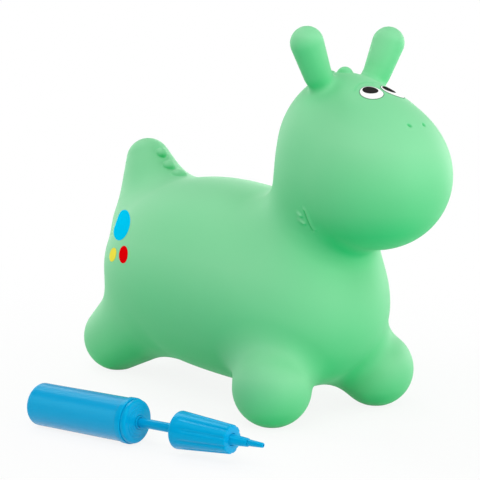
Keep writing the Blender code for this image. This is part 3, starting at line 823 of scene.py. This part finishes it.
def cut_valve(skin, belly):
    """The stopper's recess and the bore above it, cut from the skin by rods from below."""
    below = 30
    for radius, depth in ((RECESS_RADIUS, RECESS_DEPTH), (BORE_RADIUS, BORE_DEPTH)):
        top = belly + depth
        bpy.ops.mesh.primitive_cylinder_add(
            vertices=64, radius=radius * MM, depth=(top + below) * MM,
            location=(0, VALVE_Y * MM, (top - below) / 2 * MM))
        cutter = active()
        finish_with(skin, "BOOLEAN", operation="DIFFERENCE", solver="EXACT", object=cutter)
        bpy.data.objects.remove(cutter)


# The stage.

def white_paper():
    """A paper sweep, which the camera, gloss and clear pieces see as white."""
    paper = bpy.data.materials.new("white paper sweep")
    paper.use_nodes = True
    tree = paper.node_tree
    tree.nodes.clear()
    rays = add(tree, "ShaderNodeLightPath").outputs
    seen = add(tree, "ShaderNodeMath", [(0, rays["Is Camera Ray"]), (1, rays["Is Glossy Ray"])],
               operation="MAXIMUM")
    seen = add(tree, "ShaderNodeMath", [(0, seen), (1, rays["Is Transmission Ray"])],
               operation="MAXIMUM")
    # Near the object about an eighth of what is seen is the lit paper, with the shadow on it.
    # From 0.5 m to 1.2 m out that share goes to nothing, and the paper is plain white.
    place = add(tree, "ShaderNodeTexCoord").outputs["Object"]
    reach = add(tree, "ShaderNodeVectorMath", [(0, place)], operation="LENGTH")
    plain = add(tree, "ShaderNodeMapRange", [("Value", reach.outputs["Value"])],
                interpolation_type="SMOOTHSTEP",
                From_Min=0.5, From_Max=1.2, To_Min=0.88, To_Max=1.0)
    share = add(tree, "ShaderNodeMath", [(0, seen), (1, plain)], operation="MULTIPLY")
    matte = add(tree, "ShaderNodeBsdfDiffuse", Color=colour("F2F2F2"))
    white = add(tree, "ShaderNodeEmission", Color=colour("FFFFFF"), Strength=1.0)
    both = add(tree, "ShaderNodeMixShader", [(0, share), (1, matte), (2, white)])
    add(tree, "ShaderNodeOutputMaterial", [("Surface", both)])
    return paper


def set_world():
    """The air round the object: a soft glow on it, and white to the camera."""
    world = bpy.data.worlds.new("studio")
    bpy.context.scene.world = world
    world.use_nodes = True
    tree = world.node_tree
    tree.nodes.clear()
    rays = add(tree, "ShaderNodeLightPath").outputs
    air = add(tree, "ShaderNodeBackground", Color=colour("FFFFFF"), Strength=AIR)
    white = add(tree, "ShaderNodeBackground", Color=colour("FFFFFF"), Strength=1.0)
    both = add(tree, "ShaderNodeMixShader", [(0, rays["Is Camera Ray"]), (1, air), (2, white)])
    add(tree, "ShaderNodeOutputWorld", [("Surface", both)])


def add_lamp(name, at, aim, size, watts):
    bpy.ops.object.light_add(type="AREA", location=at)
    lamp = active()
    lamp.name = name
    lamp.data.size = size
    lamp.data.energy = watts
    lamp.rotation_euler = (aim - at).to_track_quat("-Z", "Y").to_euler()
    lamp.visible_camera = False


def set_camera():
    bpy.ops.object.camera_add(
        location=DINO_AT + CAMERA_OFF,
        rotation=(math.radians(90 - CAMERA_DOWN), 0, math.radians(CAMERA_TURN)))
    camera = active()
    camera.name = "photo camera"
    camera.data.sensor_width = 36
    camera.data.lens = CAMERA_LENS
    camera.data.clip_start, camera.data.clip_end = 0.05, 60
    bpy.context.scene.camera = camera


def set_stage():
    """A plain pale floor under soft studio light, seen from the photograph's angle."""
    bpy.ops.mesh.primitive_plane_add(size=60, location=(0, 0, -0.4 * MM))
    floor = active()
    floor.name = "floor"
    floor.data.materials.append(white_paper())
    set_world()
    for azimuth, elevation, watts in LAMPS:
        turn, tilt = math.radians(azimuth), math.radians(elevation)
        way = Vector((math.cos(turn) * math.cos(tilt), math.sin(turn) * math.cos(tilt),
                      math.sin(tilt)))
        at = LAMPS_AIM + LAMPS_OUT * way
        at.z = max(at.z, LAMPS_LOWEST)
        add_lamp(f"lamp {azimuth} {elevation}", at, LAMPS_AIM, LAMPS_SIZE, watts)
    add_lamp("strip", STREAK_AT, PUMP_AT, STREAK_SIZE, STREAK_WATTS)
    set_camera()
    bpy.context.scene.view_settings.view_transform = "Standard"


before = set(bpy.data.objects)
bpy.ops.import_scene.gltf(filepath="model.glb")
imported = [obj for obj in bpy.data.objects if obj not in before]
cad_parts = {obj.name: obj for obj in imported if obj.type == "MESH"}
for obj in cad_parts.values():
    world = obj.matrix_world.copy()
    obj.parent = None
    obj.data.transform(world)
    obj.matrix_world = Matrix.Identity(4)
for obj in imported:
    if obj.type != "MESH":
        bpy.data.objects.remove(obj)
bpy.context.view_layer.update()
deselect_all()

vinyl = soft_moulded_vinyl()
plastic = gloss_polypropylene()
inks = {name: printed_ink(name, code) for name, code in INK_COLOURS.items()}
stopper_vinyl = plain_moulded("white stopper vinyl", "EDEFEA", 0.45)
rubber = plain_moulded("black nitrile rubber", "2B2B2B", 0.7)

skin = model_skin()
belly = on_skin(Vector((0, VALVE_Y, 20)) * MM)[0].z / MM
cut_valve(skin, belly)
paint_light_and_shade(skin)
prints = []
for side, word in ((-1, "right"), (1, "left")):
    for name, node, slot, ink, shape in PRINTS:
        oval = print_oval(f"{word}_{name}", skin, side, **shape)
        prints.append((oval, node and f"{word}_{node}", slot, inks[ink]))

for piece in [skin] + [entry[0] for entry in prints]:
    piece.location = DINO_AT
    apply_place(piece)
for oval, node, slot, finish in prints:
    thicken_ink(oval)
    wear(oval, finish)
    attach(oval, "dinosaur")
    if node:
        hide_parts(node)
wear(skin, vinyl)
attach(skin, "dinosaur")
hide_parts("body_skin")

stopper = model_stopper(belly)
wear(stopper, stopper_vinyl)
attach(stopper, "stopper")
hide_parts("valve_plug")

place = pump_frame()
nozzle_base, nozzle_tip = model_nozzle(place)
pump_pieces = [
    (model_barrel(place), "pump_barrel", "pump_body"),
    (model_end_cap(place), "pump_end_cap", "pump_body"),
    (model_bush(place), "rod_guide_bush", "pump_body"),
    (model_rod(place), "pump_rod", "pump_plunger"),
    (model_grip(place), "pump_grip", "pump_plunger"),
    (nozzle_base, "nozzle_base", "pump_plunger"),
    (nozzle_tip, "nozzle_tip", "pump_plunger"),
]
for piece, node, body in pump_pieces:
    wear(piece, plastic)
    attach(piece, body)
    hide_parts(node)
for node, finish in (("piston", plastic), ("piston_cup_seal", rubber),
                     ("outlet_valve_disc", rubber)):
    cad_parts[node].data.materials.clear()
    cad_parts[node].data.materials.append(finish)

set_stage()
